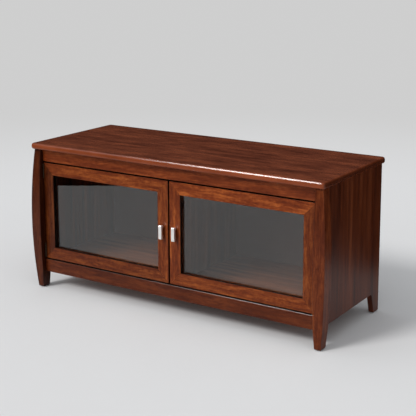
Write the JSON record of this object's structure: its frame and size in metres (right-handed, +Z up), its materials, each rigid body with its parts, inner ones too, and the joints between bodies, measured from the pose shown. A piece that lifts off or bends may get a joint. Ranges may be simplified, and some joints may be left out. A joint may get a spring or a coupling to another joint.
{
  "type": "media console",
  "caption": "Low wooden media console with bowed front legs, hinged glass doors in mitred frames, small metal pulls, a round-edged overhanging top and cable cut-outs behind.",
  "frame": {"origin": "on the floor, under the middle of the top, at the bottom centre of the bounding box", "axes": "+Z up, +X to the viewer's right along the width, the doors face -Y"},
  "size_m": [1.23, 0.478, 0.56],
  "materials": {
    "top_wood": "stained dark red-brown, satin lacquer",
    "frame_wood": "stained red-brown, satin lacquer",
    "door_wood": "stained amber-brown, satin lacquer",
    "side_wood": "stained dark brown, satin lacquer",
    "inner_wood": "stained brown, thin lacquer",
    "back_board": "brown fibreboard, matt",
    "door_glass": "clear float glass, ground edges",
    "satin_nickel": "satin nickel plate",
    "hinge_bronze": "dark bronze plate, satin",
    "zinc_steel": "zinc plated",
    "brown_plastic": "moulded, matt"
  },
  "bodies": {
    "cabinet": {"back_panel": "back_board", "bottom_front_rail": "frame_wood", "bottom_panel": "inner_wood", "bottom_rear_rail": "inner_wood", "centre_divider": "inner_wood", "left_catch": "brown_plastic", "left_front_glide": "brown_plastic", "left_front_leg": "frame_wood", "left_lower_hinge_leg_leaf": "hinge_bronze", "left_lower_hinge_pin": "hinge_bronze", "left_rear_glide": "brown_plastic", "left_side_panel": "side_wood", "left_upper_hinge_leg_leaf": "hinge_bronze", "left_upper_hinge_pin": "hinge_bronze", "middle_foot": "frame_wood", "middle_glide": "brown_plastic", "right_catch": "brown_plastic", "right_front_glide": "brown_plastic", "right_front_leg": "frame_wood", "right_lower_hinge_leg_leaf": "hinge_bronze", "right_lower_hinge_pin": "hinge_bronze", "right_rear_glide": "brown_plastic", "right_side_panel": "side_wood", "right_upper_hinge_leg_leaf": "hinge_bronze", "right_upper_hinge_pin": "hinge_bronze", "top_front_rail": "frame_wood", "top_panel": "top_wood", "top_rear_rail": "inner_wood"},
    "left_door": {"left_door_bottom_bead": "door_wood", "left_door_bottom_rail": "door_wood", "left_door_glass": "door_glass", "left_door_inner_bead": "door_wood", "left_door_inner_stile": "door_wood", "left_door_lower_screw": "zinc_steel", "left_door_outer_bead": "door_wood", "left_door_outer_stile": "door_wood", "left_door_pull": "satin_nickel", "left_door_strike": "zinc_steel", "left_door_top_bead": "door_wood", "left_door_top_rail": "door_wood", "left_door_upper_screw": "zinc_steel", "left_lower_hinge_door_leaf": "hinge_bronze", "left_upper_hinge_door_leaf": "hinge_bronze"},
    "right_door": {"right_door_bottom_bead": "door_wood", "right_door_bottom_rail": "door_wood", "right_door_glass": "door_glass", "right_door_inner_bead": "door_wood", "right_door_inner_stile": "door_wood", "right_door_lower_screw": "zinc_steel", "right_door_outer_bead": "door_wood", "right_door_outer_stile": "door_wood", "right_door_pull": "satin_nickel", "right_door_strike": "zinc_steel", "right_door_top_bead": "door_wood", "right_door_top_rail": "door_wood", "right_door_upper_screw": "zinc_steel", "right_lower_hinge_door_leaf": "hinge_bronze", "right_upper_hinge_door_leaf": "hinge_bronze"}
  },
  "joints": [
    {"name": "left_door_hinge", "type": "hinge", "parent": "cabinet", "child": "left_door", "pos_m": [-0.5694, -0.2155, 0.3006], "axis": [0, 0, -1], "range_deg": [0, 100]},
    {"name": "right_door_hinge", "type": "hinge", "parent": "cabinet", "child": "right_door", "pos_m": [0.5694, -0.2155, 0.3006], "axis": [0, 0, 1], "range_deg": [0, 100]}
  ]
}
